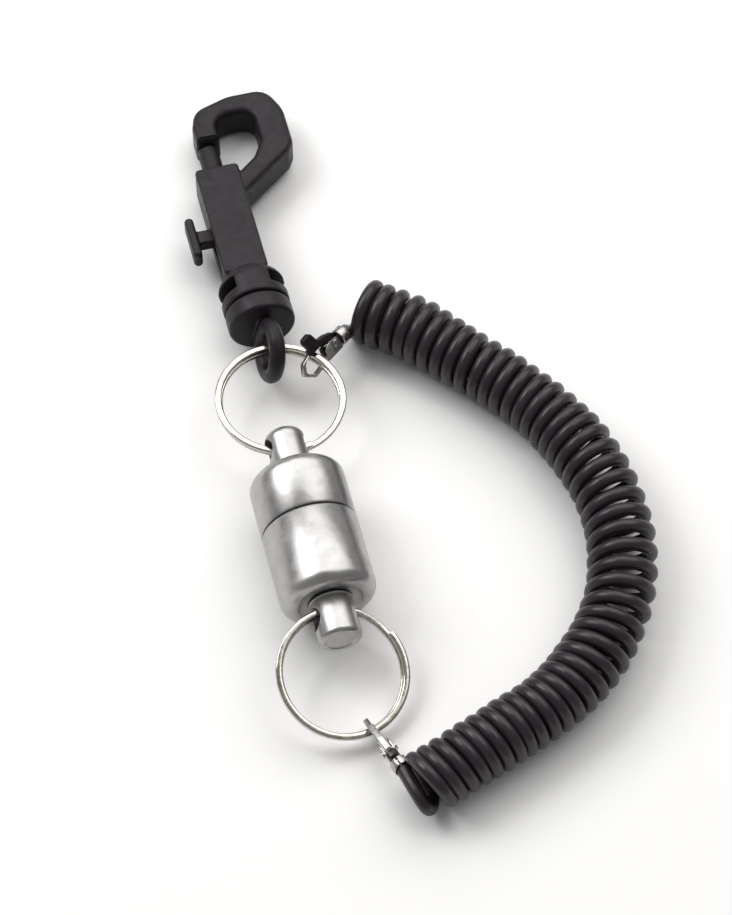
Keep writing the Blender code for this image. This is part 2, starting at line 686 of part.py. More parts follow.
def build():
    clear_scene()
    assembly = empty("assembly", placed((-ASSEMBLY_X, -ASSEMBLY_Y, 0)))
    magnet_axis = empty("magnet_axis", placed((0, 0, MAGNET_RADIUS)), assembly)
    add_magnet_half("upper", UPPER_LENGTH, 0, upper_post_profile(), UPPER_HOLE_Y, 5.0, 1, magnet_axis)
    add_magnet_half("lower", LOWER_LENGTH, 0.45, lower_post_profile(), LOWER_HOLE_Y, 8.0, -1, magnet_axis)
    add_split_ring("upper_split_ring", UPPER_RING_CENTRE, UPPER_RING_TILT, -40, assembly)
    add_split_ring("lower_split_ring", LOWER_RING_CENTRE, LOWER_RING_TILT, 62, assembly)
    snap = placed((SNAP_X, FLANGE_FACE_Y, SNAP_Z), Matrix.Rotation(radians(SNAP_PITCH), 4, "X"))
    snap_axis = empty("snap_axis", snap, assembly)
    bolt_axis = empty("bolt_axis", placed((BOLT_X, 0, 0)), snap_axis)
    add_snap_body(snap_axis)
    add_bolt(bolt_axis)
    add_thumb_piece(bolt_axis)
    add_bolt_spring(bolt_axis)
    add_swivel_eye(snap_axis)
    add_lanyard(assembly)
    upper = clasp_on_ring(UPPER_RING_CENTRE, UPPER_RING_TILT, 39, 2.3, UPPER_TAIL_ROUTE[-1], -38)
    lower = clasp_on_ring(LOWER_RING_CENTRE, LOWER_RING_TILT, -75, 0.2, LOWER_TAIL_ROUTE[-1], 18)
    add_clasp("upper", upper, broad_lever_outline(), False, assembly)
    add_clasp("lower", lower, slim_lever_outline(), True, assembly)


build()
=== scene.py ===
import json
from math import atan2, cos, pi, radians, sin, sqrt, tan

import bmesh
import bpy
from mathutils import Matrix, Vector


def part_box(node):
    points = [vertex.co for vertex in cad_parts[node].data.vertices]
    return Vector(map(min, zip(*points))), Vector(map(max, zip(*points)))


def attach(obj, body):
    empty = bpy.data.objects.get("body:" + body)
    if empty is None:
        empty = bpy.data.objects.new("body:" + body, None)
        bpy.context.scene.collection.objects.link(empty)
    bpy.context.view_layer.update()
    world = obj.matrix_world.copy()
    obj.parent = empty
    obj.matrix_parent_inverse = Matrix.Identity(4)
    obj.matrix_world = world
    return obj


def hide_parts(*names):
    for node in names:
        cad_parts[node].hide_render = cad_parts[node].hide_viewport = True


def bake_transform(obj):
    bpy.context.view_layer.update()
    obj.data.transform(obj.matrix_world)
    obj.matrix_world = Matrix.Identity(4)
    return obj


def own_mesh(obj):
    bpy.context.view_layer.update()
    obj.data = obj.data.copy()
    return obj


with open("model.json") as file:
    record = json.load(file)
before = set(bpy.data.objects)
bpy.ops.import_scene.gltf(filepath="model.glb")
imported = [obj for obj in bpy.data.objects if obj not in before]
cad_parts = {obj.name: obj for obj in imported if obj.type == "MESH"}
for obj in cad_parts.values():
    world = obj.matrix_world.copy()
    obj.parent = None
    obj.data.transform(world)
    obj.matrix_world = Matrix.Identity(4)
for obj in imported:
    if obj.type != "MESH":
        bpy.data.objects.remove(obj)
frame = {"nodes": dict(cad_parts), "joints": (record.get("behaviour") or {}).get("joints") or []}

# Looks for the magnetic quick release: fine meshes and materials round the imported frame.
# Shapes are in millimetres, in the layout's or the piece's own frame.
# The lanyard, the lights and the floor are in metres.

MM = 0.001
IN_PLACE = Matrix.Identity(4)
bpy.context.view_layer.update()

# ---- places, read from the frame -------------------------------------------------------------------------

JOINTS = {joint["name"]: joint for joint in frame["joints"]}
SHELL_LOW, SHELL_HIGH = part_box("upper_shell")
MAGNET_RADIUS = (SHELL_HIGH.x - SHELL_LOW.x) / 2 / MM
SEAM_GAP = 0.15
ORIGIN = Vector(((SHELL_LOW.x + SHELL_HIGH.x) / 2, SHELL_LOW.y - SEAM_GAP * MM, 0))


def joint_point(name):
    return Vector(JOINTS[name]["pos_m"])


def frame_along(point, y_axis):
    """A matrix at point whose Y runs along y_axis and whose X is close to the world's X."""
    y_axis = Vector(y_axis).normalized()
    z_axis = Vector((1, 0, 0)).cross(y_axis).normalized()
    x_axis = y_axis.cross(z_axis)
    return Matrix.Translation(point) @ Matrix((x_axis, y_axis, z_axis)).transposed().to_4x4()


def frame_about(point, z_axis):
    """A matrix at point whose Z runs along z_axis and whose X is level with the world's X."""
    z_axis = Vector(z_axis).normalized()
    y_axis = z_axis.cross(Vector((1, 0, 0))).normalized()
    x_axis = y_axis.cross(z_axis)
    return Matrix.Translation(point) @ Matrix((x_axis, y_axis, z_axis)).transposed().to_4x4()


LAYOUT = Matrix.Translation(ORIGIN)
MAGNET_AXIS = Matrix.Translation(ORIGIN + Vector((0, 0, MAGNET_RADIUS * MM)))
UPPER_RING = frame_about(joint_point("upper_ring_turn"), JOINTS["upper_ring_turn"]["axis"])
LOWER_RING = frame_about(joint_point("lower_ring_turn"), JOINTS["lower_ring_turn"]["axis"])
SNAP = frame_along(joint_point("snap_swivel"), JOINTS["snap_swivel"]["axis"])

# ---- camera, floor and light -----------------------------------------------------------------------------

CAMERA_PLACE = (-77.46, -331.60, 601.87)
CAMERA_RIGHT = (0.96876, -0.24790, 0.00783)
CAMERA_UP = (0.20821, 0.83000, 0.51744)
CAMERA_LENS = 128.73


def make_camera():
    data = bpy.data.cameras.new("camera")
    data.lens = CAMERA_LENS
    data.sensor_width = 36
    data.clip_start = 0.01
    data.clip_end = 20
    camera = bpy.data.objects.new("camera", data)
    bpy.context.collection.objects.link(camera)
    right = Vector(CAMERA_RIGHT).normalized()
    back = right.cross(Vector(CAMERA_UP)).normalized()
    turn = Matrix((right, back.cross(right), back)).transposed().to_4x4()
    camera.matrix_world = LAYOUT @ Matrix.Translation(Vector(CAMERA_PLACE) * MM) @ turn
    bpy.context.scene.camera = camera


def make_light(name, place, target, size, watts, colour=(1, 1, 1)):
    data = bpy.data.lights.new(name, "AREA")
    data.shape = "RECTANGLE"
    data.size, data.size_y = size
    data.energy = watts
    data.color = colour
    light = bpy.data.objects.new(name, data)
    bpy.context.collection.objects.link(light)
    light.location = place
    light.rotation_euler = (Vector(target) - Vector(place)).to_track_quat("-Z", "Y").to_euler()


def make_world(strength):
    world = bpy.data.worlds.new("studio")
    world.use_nodes = True
    background = world.node_tree.nodes["Background"]
    background.inputs["Color"].default_value = (1.0, 0.995, 0.99, 1)
    background.inputs["Strength"].default_value = strength
    bpy.context.scene.world = world


def make_floor():
    shape = bmesh.new()
    bmesh.ops.create_grid(shape, x_segments=1, y_segments=1, size=3.0)
    mesh = bpy.data.meshes.new("floor")
    shape.to_mesh(mesh)
    shape.free()
    floor = bpy.data.objects.new("floor", mesh)
    floor.location = (0, 0, -0.0001)
    bpy.context.collection.objects.link(floor)
    material = bpy.data.materials.new("floor_paper")
    material.use_nodes = True
    shader = material.node_tree.nodes["Principled BSDF"]
    shader.inputs["Base Color"].default_value = (0.96, 0.955, 0.95, 1)
    shader.inputs["Roughness"].default_value = 0.6
    shader.inputs["Specular IOR Level"].default_value = 0.2
    mesh.materials.append(material)


def make_studio():
    make_camera()
    make_floor()
    bpy.context.scene.view_settings.view_transform = "Standard"
    make_world(0.27)
    make_light("back_softbox", (0.5, 0.7, 1.2), (0, 0, 0), (2.0, 1.5), 19.5, (1, 0.995, 0.985))
    make_light("left_key", (-0.8, 0.7, 1.1), (0, 0, 0), (0.9, 0.8), 12)


# ---- materials -------------------------------------------------------------------------------------------


class Look:
    """A Principled material with short calls for the nodes that vary it over the surface."""

    def __init__(self, name, colour, roughness, metallic=0.0, **sockets):
        self.material = bpy.data.materials.new(name)
        self.material.use_nodes = True
        self.tree = self.material.node_tree
        self.shader = self.tree.nodes["Principled BSDF"]
        self.set(self.shader, "Base Color", (*colour, 1))
        self.set(self.shader, "Roughness", roughness)
        self.set(self.shader, "Metallic", metallic)
        for socket, value in sockets.items():
            self.set(self.shader, socket.replace("_", " "), value)
        self.height = None

    def set(self, node, socket, value):
        """Link value to a socket, given by name or by number, or write it there as a constant."""
        target = node.inputs[socket]
        if isinstance(value, bpy.types.NodeSocket):
            self.tree.links.new(value, target)
        else:
            target.default_value = value

    def node(self, kind, **settings):
        made = self.tree.nodes.new(kind)
        for key, value in settings.items():
            setattr(made, key, value)
        return made

    def place(self, stretch):
        """Position on the piece, in millimetres, stretched along each axis."""
        coordinates = self.node("ShaderNodeTexCoord")
        mapping = self.node("ShaderNodeMapping")
        self.set(mapping, "Vector", coordinates.outputs["Object"])
        self.set(mapping, "Scale", tuple(1000 * s for s in stretch))
        return mapping.outputs["Vector"]

    def noise(self, per_mm, detail=3, stretch=(1, 1, 1), rough=0.55, distortion=0.0):
        made = self.node("ShaderNodeTexNoise")
        self.set(made, "Vector", self.place(stretch))
        self.set(made, "Scale", per_mm)
        self.set(made, "Detail", detail)
        self.set(made, "Roughness", rough)
        self.set(made, "Distortion", distortion)
        return made.outputs["Fac"]

    def remap(self, value, low, high, to_low, to_high):
        made = self.node("ShaderNodeMapRange")
        self.set(made, "Value", value)
        self.set(made, "From Min", low)
        self.set(made, "From Max", high)
        self.set(made, "To Min", to_low)
        self.set(made, "To Max", to_high)
        return made.outputs["Result"]

    def add(self, first, second):
        made = self.node("ShaderNodeMath", operation="ADD")
        self.set(made, 0, first)
        self.set(made, 1, second)
        return made.outputs[0]

    def blend_colours(self, factor, first, second):
        made = self.node("ShaderNodeMix", data_type="RGBA")
        self.set(made, 0, factor)
        for index, colour in ((6, first), (7, second)):
            value = colour if isinstance(colour, bpy.types.NodeSocket) else (*colour, 1)
            self.set(made, index, value)
        return made.outputs[2]

    def bump(self, value, depth_mm):
        made = self.node("ShaderNodeBump")
        self.set(made, "Height", value)
        self.set(made, "Distance", depth_mm * MM)
        self.set(made, "Strength", 1.0)
        if self.height is not None:
            self.set(made, "Normal", self.height)
        self.height = made.outputs["Normal"]
        self.set(self.shader, "Normal", self.height)


def turned_steel():
    """Lathe-turned, tumbled stainless steel: fine rings round the axis, cloudy smudges and small knocks."""
    look = Look("turned_steel", (0.66, 0.65, 0.645), 0.24, 1.0)
    smudge = look.remap(look.noise(0.16, 4, distortion=0.8), 0.35, 0.7, 0, 1)
    tarnish = look.remap(look.noise(0.45, 5, rough=0.65), 0.52, 0.75, 0, 0.55)
    clean = look.blend_colours(smudge, (0.43, 0.425, 0.42), (0.48, 0.475, 0.47))
    look.set(look.shader, "Base Color", look.blend_colours(tarnish, clean, (0.30, 0.285, 0.27)))
    rings = look.noise(1.0, 2, stretch=(0.03, 7.0, 0.03))
    haze = look.remap(look.noise(0.3, 4), 0.3, 0.75, 0.28, 0.42)
    look.set(look.shader, "Roughness", look.add(haze, look.remap(rings, 0.3, 0.7, -0.03, 0.05)))
    look.bump(rings, 0.0035)
    look.bump(look.noise(0.35, 2), 0.035)
    scratch = look.remap(look.noise(2.2, 2, stretch=(1.0, 0.12, 1.0)), 0.66, 0.72, 0, -1)
    look.bump(scratch, 0.004)
    return look.material


def ring_nickel():
    """Bright nickel plate on spring wire, with drawing marks and a few dull spots."""
    look = Look("ring_nickel", (0.76, 0.73, 0.68), 0.13, 1.0)
    spots = look.remap(look.noise(0.9, 5, rough=0.6), 0.5, 0.72, 0, 0.7)
    look.set(look.shader, "Base Color", look.blend_colours(spots, (0.60, 0.57, 0.52), (0.33, 0.295, 0.25)))
    look.set(look.shader, "Roughness", look.remap(look.noise(0.6, 4), 0.3, 0.75, 0.08, 0.26))
    look.bump(look.noise(3.0, 3), 0.006)
    return look.material


def plate_steel():
    """Stamped, zinc-plated sheet: slightly mottled."""
    look = Look("plate_steel", (0.60, 0.595, 0.585), 0.34, 1.0)
    mottle = look.remap(look.noise(1.1, 5, rough=0.65), 0.4, 0.7, 0, 0.8)
    look.set(look.shader, "Base Color", look.blend_colours(mottle, (0.50, 0.49, 0.475), (0.33, 0.315, 0.30)))
    look.set(look.shader, "Roughness", look.remap(look.noise(1.6, 3), 0.3, 0.75, 0.22, 0.46))
    look.bump(look.noise(1.2, 2), 0.01)
    return look.material


def wire_steel():
    look = Look("wire_steel", (0.47, 0.465, 0.46), 0.3, 1.0)
    look.set(look.shader, "Roughness", look.remap(look.noise(2.0, 3), 0.3, 0.7, 0.2, 0.42))
    look.bump(look.noise(6.0, 2), 0.003)
    return look.material


def magnet_nickel():
    """Nickel-plated magnet faces with rub marks from meeting each other."""
    look = Look("magnet_nickel", (0.70, 0.69, 0.67), 0.2, 1.0)
    rub = look.remap(look.noise(0.5, 5, distortion=1.2), 0.45, 0.72, 0, 0.8)
    look.set(look.shader, "Base Color", look.blend_colours(rub, (0.74, 0.73, 0.71), (0.45, 0.43, 0.41)))
    look.set(look.shader, "Roughness", look.remap(rub, 0, 0.8, 0.16, 0.45))
    look.bump(look.noise(1.5, 4), 0.006)
    return look.material


def moulded_plastic(name, worn=0.5):
    """Black moulded nylon: fine grain, faint flow marks, dusty wear and a few light specks."""
    look = Look(name, (0.014, 0.0105, 0.0145), 0.46, 0.0, Specular_IOR_Level=0.27)
    flow = look.remap(look.noise(0.12, 3, distortion=0.6), 0.35, 0.7, 0, 1)
    base = look.blend_colours(flow, (0.0115, 0.0085, 0.0120), (0.017, 0.0125, 0.0172))
    dust = look.remap(look.noise(1.5, 6, rough=0.72), 0.60, 0.82, 0, worn)
    look.set(look.shader, "Base Color", look.blend_colours(dust, base, (0.060, 0.055, 0.056)))
    look.set(look.shader, "Roughness", look.remap(look.noise(0.5, 5, rough=0.6), 0.3, 0.75, 0.36, 0.58))
    look.bump(look.noise(5.5, 3), 0.012)
    look.bump(look.noise(0.5, 2), 0.03)
    return look.material


def coil_polyurethane():
    """Glossy black polyurethane cord, slightly uneven, with dust in places."""
    look = Look("coil_polyurethane", (0.024, 0.0175, 0.0225), 0.38, 0.0, Specular_IOR_Level=0.42)
    tone = look.remap(look.noise(0.07, 3), 0.35, 0.7, 0, 1)
    base = look.blend_colours(tone, (0.021, 0.0150, 0.0200), (0.030, 0.0215, 0.0280))
    dust = look.remap(look.noise(1.2, 6, rough=0.7), 0.60, 0.85, 0, 0.4)
    look.set(look.shader, "Base Color", look.blend_colours(dust, base, (0.040, 0.036, 0.038)))
    look.set(look.shader, "Roughness", look.remap(look.noise(0.35, 4), 0.3, 0.75, 0.27, 0.44))
    look.bump(look.noise(0.55, 2), 0.05)
    look.bump(look.noise(4.0, 3), 0.006)
    return look.material


LOOKS = {
    "steel": turned_steel(),
    "nickel": ring_nickel(),
    "zinc": plate_steel(),
    "spring_steel": wire_steel(),
    "magnet": magnet_nickel(),
    "black_plastic": moulded_plastic("moulded_plastic"),
    "black_cord": coil_polyurethane(),
}

# ---- modelling helpers -----------------------------------------------------------------------------------


def arc(centre, radius, start, end, steps):
    """Points on an arc, in degrees, both ends included."""
    angles = [radians(start + (end - start) * i / steps) for i in range(steps + 1)]
    return [(centre[0] + radius * cos(a), centre[1] + radius * sin(a)) for a in angles]


def rounded(corners, steps=8):
    """An outline of (x, y, fillet radius) corners, with each corner replaced by an arc."""
    outline = []
    for i, (x, y, radius) in enumerate(corners):
        here = Vector((x, y))
        if radius == 0:
            outline.append((x, y))
            continue
        back = (Vector(corners[i - 1][:2]) - here).normalized()
        ahead = (Vector(corners[(i + 1) % len(corners)][:2]) - here).normalized()
        half = back.angle(ahead) / 2
        centre = here + (back + ahead).normalized() * (radius / sin(half))
        first = here + back * (radius / tan(half)) - centre
        last = here + ahead * (radius / tan(half)) - centre
        start = atan2(first.y, first.x)
        sweep = atan2(last.y, last.x) - start
        sweep -= 2 * pi * round(sweep / (2 * pi))
        for k in range(steps + 1):
            angle = start + sweep * k / steps
            outline.append((centre.x + radius * cos(angle), centre.y + radius * sin(angle)))
    return outline


def to_mesh(name, shape, smooth_angle=35):
    bmesh.ops.remove_doubles(shape, verts=shape.verts, dist=1e-7)
    bmesh.ops.recalc_face_normals(shape, faces=shape.faces)
    mesh = bpy.data.meshes.new(name)
    shape.to_mesh(mesh)
    shape.free()
    mesh.shade_smooth()
    mesh.set_sharp_from_angle(angle=radians(smooth_angle))
    return mesh


def turned_mesh(name, profile, segments, closed=False):
    """Turn a profile of (radius, y) points about the Y axis. A radius of 0 makes a pole."""
    shape = bmesh.new()
    rows = []
    for radius, y in profile:
        if radius == 0:
            rows.append([shape.verts.new((0, y * MM, 0))])
            continue
        angles = [2 * pi * i / segments for i in range(segments)]
        rows.append([shape.verts.new((radius * MM * cos(a), y * MM, radius * MM * sin(a))) for a in angles])
    pairs = list(zip(rows, rows[1:]))
    if closed:
        pairs.append((rows[-1], rows[0]))
    for low, high in pairs:
        for i in range(segments):
            corners = [low[i % len(low)], low[(i + 1) % len(low)]]
            corners += [high[(i + 1) % len(high)], high[i % len(high)]]
            unique = list(dict.fromkeys(corners))
            if len(unique) > 2:
                shape.faces.new(unique)
    return to_mesh(name, shape)


def prism_mesh(name, outline, low, high, bevel=0.0, upright=False, steps=4):
    """Extrude an outline along Z; upright outlines are (x, z) and run along Y."""
    shape = bmesh.new()
    base = [shape.verts.new((x * MM, y * MM, low * MM)) for x, y in outline]
    face = shape.faces.new(base)
    lifted = bmesh.ops.extrude_face_region(shape, geom=[face])["geom"]
    top = [v for v in lifted if isinstance(v, bmesh.types.BMVert)]
    bmesh.ops.translate(shape, verts=top, vec=(0, 0, (high - low) * MM))
    bmesh.ops.recalc_face_normals(shape, faces=shape.faces)
    if bevel:
        rims = [e for e in shape.edges if abs(e.verts[0].co.z - e.verts[1].co.z) < 1e-9]
        bmesh.ops.bevel(shape, geom=rims, offset=bevel * MM, segments=steps, profile=0.5, affect="EDGES")
    if upright:
        bmesh.ops.rotate(shape, verts=shape.verts, matrix=Matrix.Rotation(pi / 2, 3, "X"))
    return to_mesh(name, shape)


def rod_mesh(name, radius, start, end):
    return turned_mesh(name, [(0, start), (radius, start), (radius, end), (0, end)], 64)


def tube_mesh(name, path, radius, sides):
    """A round tube with flat caps along a list of points, which are in metres, with no twist."""
    shape = bmesh.new()
    normal = None
    rows = []
    for k, point in enumerate(path):
        ahead = (path[min(k + 1, len(path) - 1)] - path[max(k - 1, 0)]).normalized()
        if normal is None:
            normal = ahead.orthogonal()
        normal = (normal - ahead * normal.dot(ahead)).normalized()
        side = ahead.cross(normal)
        angles = [2 * pi * i / sides for i in range(sides)]
        rows.append([shape.verts.new(point + (normal * cos(a) + side * sin(a)) * radius) for a in angles])
    for low, high in zip(rows, rows[1:]):
        for i in range(sides):
            shape.faces.new([low[i], low[(i + 1) % sides], high[(i + 1) % sides], high[i]])
    shape.faces.new(rows[0])
    shape.faces.new(rows[-1])
    return to_mesh(name, shape, 60)


def new_object(name, mesh, matrix=IN_PLACE):
    """An object whose mesh is moved to its place, so that the object itself stays at the origin."""
    mesh.transform(matrix)
    made = bpy.data.objects.new(name, mesh)
    bpy.context.collection.objects.link(made)
    return made


def combined(base, tools, matrix=IN_PLACE):
    """base joined with or cut by each (mesh, operation, matrix) tool, with the result applied."""
    made = new_object(base.name, base)
    cutters = []
    for mesh, operation, place in tools:
        cutter = new_object(mesh.name, mesh, place)
        step = made.modifiers.new(mesh.name, "BOOLEAN")
        step.operation = operation
        step.solver = "EXACT"
        step.object = cutter
        cutters.append(cutter)
    settle(made)
    for cutter in cutters:
        bpy.data.objects.remove(cutter)
    made.data.transform(matrix)
    return made


def settle(made):
    """Apply every modifier."""
    graph = bpy.context.evaluated_depsgraph_get()
    mesh = bpy.data.meshes.new_from_object(made.evaluated_get(graph))
    made.modifiers.clear()
    made.data = mesh


def melt(made, voxel, rounds):
    """Remesh a joined shape finely and relax it, which rounds its corners as a mould does."""
    step = made.modifiers.new("voxels", "REMESH")
    step.mode = "VOXEL"
    step.voxel_size = voxel * MM
    step.use_smooth_shade = True
    relax = made.modifiers.new("relax", "SMOOTH")
    relax.iterations = rounds
    relax.factor = 0.5
    settle(made)
    made.data.shade_smooth()


def soften_edges(made, width, steps, angle):
    step = made.modifiers.new("edges", "BEVEL")
    step.width = width * MM
    step.segments = steps
    step.limit_method = "ANGLE"
    step.angle_limit = radians(angle)
    settle(made)
    made.data.shade_smooth()
    made.data.set_sharp_from_angle(angle=radians(50))


def dress(node_name, look):
    """Give a CAD piece that stays in the scene its material."""
    node = frame["nodes"][node_name]
    node.data.materials.clear()
    node.data.materials.append(LOOKS[look])
    return node


def show(made, look, body, *nodes, slot=None):
    """Give a piece its material and body, and hide the CAD nodes it stands for. The slot argument is not
    used.
    """
    made.data.materials.clear()
    made.data.materials.append(LOOKS[look])
    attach(made, body)
    if nodes:
        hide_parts(*nodes)
    return made


def clamped(value):
    return min(max(value, 0), 1)


def smooth_route(points, count):
    """count points at equal steps of length along a Catmull-Rom curve through the points."""
    ends = [points[0] * 2 - points[1], *points, points[-1] * 2 - points[-2]]
    dense = []
    for before, first, second, after in zip(ends, ends[1:], ends[2:], ends[3:]):
        for k in range(24):
            t = k / 24
            dense.append(
                0.5
                * (
                    2 * first
                    + (second - before) * t
                    + (2 * before - 5 * first + 4 * second - after) * t * t
                    + (3 * first - before - 3 * second + after) * t * t * t
                )
            )
    dense.append(points[-1])
    walked = [0.0]
    for first, second in zip(dense, dense[1:]):
        walked.append(walked[-1] + (second - first).length)
    route = []
    at = 0
    for k in range(count):
        goal = walked[-1] * k / (count - 1)
        while at < len(dense) - 2 and walked[at + 1] < goal:
            at += 1
        share = (goal - walked[at]) / (walked[at + 1] - walked[at])
        route.append(dense[at].lerp(dense[at + 1], min(share, 1.0)))
    return route


# ---- coiled lanyard --------------------------------------------------------------------------------------

# The coil's centre line and its two straight ends, in metres in the layout's frame.
COIL_HEIGHT = 0.00712
COIL_BULGE = 0.00045
COIL_ROUTE = (
    (0.0243, 0.0524),
    (0.0339, 0.0448),
    (0.0415, 0.0363),
    (0.0494, 0.0270),
    (0.0566, 0.0162),
    (0.0618, 0.0032),
    (0.0635, -0.0104),
    (0.0614, -0.0233),
    (0.0562, -0.0341),
    (0.0484, -0.0430),
    (0.0391, -0.0494),
    (0.0285, -0.0538),
    (0.0182, -0.0577),
    (0.0087, -0.0613),
)
UPPER_TAIL = (
    (0.0181, 0.0459, 0.0086),
    (0.0192, 0.0464, 0.0080),
    (0.0202, 0.0471, 0.0071),
)
LOWER_TAIL = (
    (0.0090, -0.0650, 0.0028),
    (0.0083, -0.0662, 0.0049),
    (0.0074, -0.0654, 0.0069),
    (0.0066, -0.0628, 0.0075),
    (0.00585, -0.0592, 0.0071),
    (0.0051, -0.05545, 0.0064),
)
CORD_DIAMETER = 0.003
COIL_MEAN_RADIUS = 0.0056
COIL_TURNS = 47
COIL_START_ANGLE = 190
COIL_EXTRA_ANGLE = 95
POINTS_PER_TURN = 28
ROUTE_STEPS = 1600
END_ZONE = 14
END_POINTS = 40
UPPER_SWAY = 0.0016
LOWER_LEAN = 0.0014
PITCHES = ((0.0, 3.35), (0.34, 3.45), (0.46, 4.2), (0.62, 4.5), (0.72, 3.5), (0.8, 3.07), (1.0, 3.05))


def pitch_at(share):
    """The coil's pitch, in millimetres, at a share of its length: it is stretched round the bend."""
    (low, first), (high, second) = next(pair for pair in zip(PITCHES, PITCHES[1:]) if share <= pair[1][0])
    t = (share - low) / (high - low)
    return first + (second - first) * t * t * (3 - 2 * t)


def coil_bend(share):
    """How much the turns bulge at a share of the coil's length: fully in the bend, 0.8 at the upper end."""
    rise = clamped((share - 0.28) / 0.1)
    fall = clamped((0.78 - share) / 0.1)
    upper_end = 0.8 * clamped((0.2 - share) / 0.1)
    return max(min(rise, fall), upper_end)


def cord_path():
    """The whole cord from one clasp to the other: a straight end, a right-handed coil, a straight end."""
    centre = smooth_route([Vector((x, y, COIL_HEIGHT)) for x, y in COIL_ROUTE], ROUTE_STEPS + 1)
    turned = [0.0]
    for k in range(ROUTE_STEPS):
        turned.append(turned[-1] + 1 / pitch_at(k / ROUTE_STEPS))
    first = radians(COIL_START_ANGLE)
    total = 2 * pi * COIL_TURNS + radians(COIL_EXTRA_ANGLE)
    steps = COIL_TURNS * POINTS_PER_TURN
    path = [Vector(point) for point in UPPER_TAIL]
    at = 0
    for k in range(steps + 1):
        share = k / steps
        goal = turned[-1] * share
        while at < ROUTE_STEPS - 1 and turned[at + 1] < goal:
            at += 1
        t = (goal - turned[at]) / (turned[at + 1] - turned[at])
        middle = centre[at].lerp(centre[at + 1], min(t, 1))
        along = (centre[min(at + 3, ROUTE_STEPS)] - centre[max(at - 3, 0)]).normalized()
        across = Vector((-along.y, along.x, 0))
        angle = first + total * share
        bulge = COIL_BULGE * coil_bend(share)
        middle = middle + Vector((0, 0, bulge))
        radius = COIL_MEAN_RADIUS + bulge
        radius -= 0.00006 * (1 + sin(angle * 0.137 + 1.0)) + 0.00004 * (1 + sin(angle * 0.71))
        wander = along * (0.00012 * sin(angle * 0.31) + 0.00008 * sin(angle * 0.173 + 2))
        wander += along * UPPER_SWAY * (cos(angle) - 1) / 2 * max(1 - share / 0.12, 0)
        wander += along * LOWER_LEAN * sin(angle) * max((share - 0.84) / 0.16, 0)
        path.append(middle + wander + (across * cos(angle) + Vector((0, 0, 1)) * sin(angle)) * radius)
    path.extend(Vector(point) for point in LOWER_TAIL)
    return [LAYOUT @ point for point in path]


def smooth_ends(path):
    """Redraw both ends as one smooth curve from the clasp into the coil, and leave the rest alone."""
    first = smooth_route(path[:END_ZONE], END_POINTS)
    last = smooth_route(path[-END_ZONE:], END_POINTS)
    eased = [*first[:-1], *path[END_ZONE - 1 : 1 - END_ZONE], *last[1:]]
    zones = (range(1, END_POINTS), range(len(eased) - END_POINTS, len(eased) - 1))
    for _ in range(12):
        for stretch in zones:
            for k in stretch:
                eased[k] = (eased[k - 1] + eased[k] * 2 + eased[k + 1]) / 4
    return eased


def make_lanyard():
    path = smooth_ends(cord_path())
    cord = new_object("coiled_cord", tube_mesh("coiled_cord", path, CORD_DIAMETER / 2, 14))
    cord.data.materials.append(LOOKS["black_cord"])
    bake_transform(cord)
    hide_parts("lanyard_coil", "upper_cord_end", "lower_cord_end")


# ---- magnet ----------------------------------------------------------------------------------------------


def mirrored(profile, side):
    return [(radius, y * side) for radius, y in profile]


def upper_shell_profile():
    inner = MAGNET_RADIUS - 1.7
    shoulder = arc((MAGNET_RADIUS - 3.3, 13.6 - 3.3), 3.3, 0, 90, 16)
    mouth = [(MAGNET_RADIUS - 0.55, SEAM_GAP), (MAGNET_RADIUS - 0.2, 0.25), (MAGNET_RADIUS, 0.6)]
    hole = arc((2.9, 13.2), 0.4, 90, 180, 4)
    return [(inner, 10.9), (inner, 0.4), (inner + 0.25, SEAM_GAP), *mouth, *shoulder, *hole, (2.5, 10.9)]


def lower_shell_profile():
    """Rounded at its end, with a fine raised rim round a dished end face."""
    inner = MAGNET_RADIUS - 1.7
    shoulder = arc((MAGNET_RADIUS - 2.7, 18.5 - 2.7), 2.7, 0, 84, 14)
    mouth = [(MAGNET_RADIUS - 0.55, SEAM_GAP), (MAGNET_RADIUS - 0.2, 0.25), (MAGNET_RADIUS, 0.6)]
    rim = [(7.05, 18.47), (6.85, 18.38), (6.72, 18.2)]
    dish = [(6.3, 18.0), (5.2, 17.86), (3.0, 17.8), (2.5, 17.6), (2.5, 15.8)]
    return [(inner, 15.8), (inner, 0.4), (inner + 0.25, SEAM_GAP), *mouth, *shoulder, *rim, *dish]


def upper_post_profile():
    neck = arc((6.05, 15.7), 1.7, 262, 180, 9)
    dome = arc((4.35 - 2.2, 24.0 - 2.2), 2.2, 0, 88, 12)
    return [(0, 7.6), (2.2, 7.6), (2.2, 13.9), (5.8, 13.9), *neck, (4.33, 17.3), *dome, (0, 24.0)]


def lower_post_profile():
    foot = [(4.75, 18.12), (4.75, 18.3), (4.6, 18.5)]
    end = arc((4.65 - 1.0, 27.4 - 1.0), 1.0, 0, 90, 10)
    recess = [(3.35, 27.36), (3.22, 27.24), (3.1, 27.12), (2.6, 27.1), (0.5, 27.1), (0, 27.1)]
    return [(0, 12.6), (2.2, 12.6), (2.2, 18.12), *foot, (4.65, 18.7), *end, *recess]


def make_post(name, profile, hole_y, side, body, turned):
    """A post with its cross hole; turned is its turn about its axis, in degrees."""
    post = turned_mesh(name, mirrored(profile, side), 96)
    turn = Matrix.Rotation(radians(turned), 4, "Y") @ Matrix.Rotation(pi / 2, 4, "Z")
    across = Matrix.Translation((0, hole_y * side * MM, 0)) @ turn
    drill = rod_mesh(name + "_drill", 2.6, -8, 8)
    made = combined(post, [(drill, "DIFFERENCE", across)])
    soften_edges(made, 0.22, 3, 38)
    made.data.transform(MAGNET_AXIS)
    show(made, "steel", body, name)
    made.name = name + "_fine"


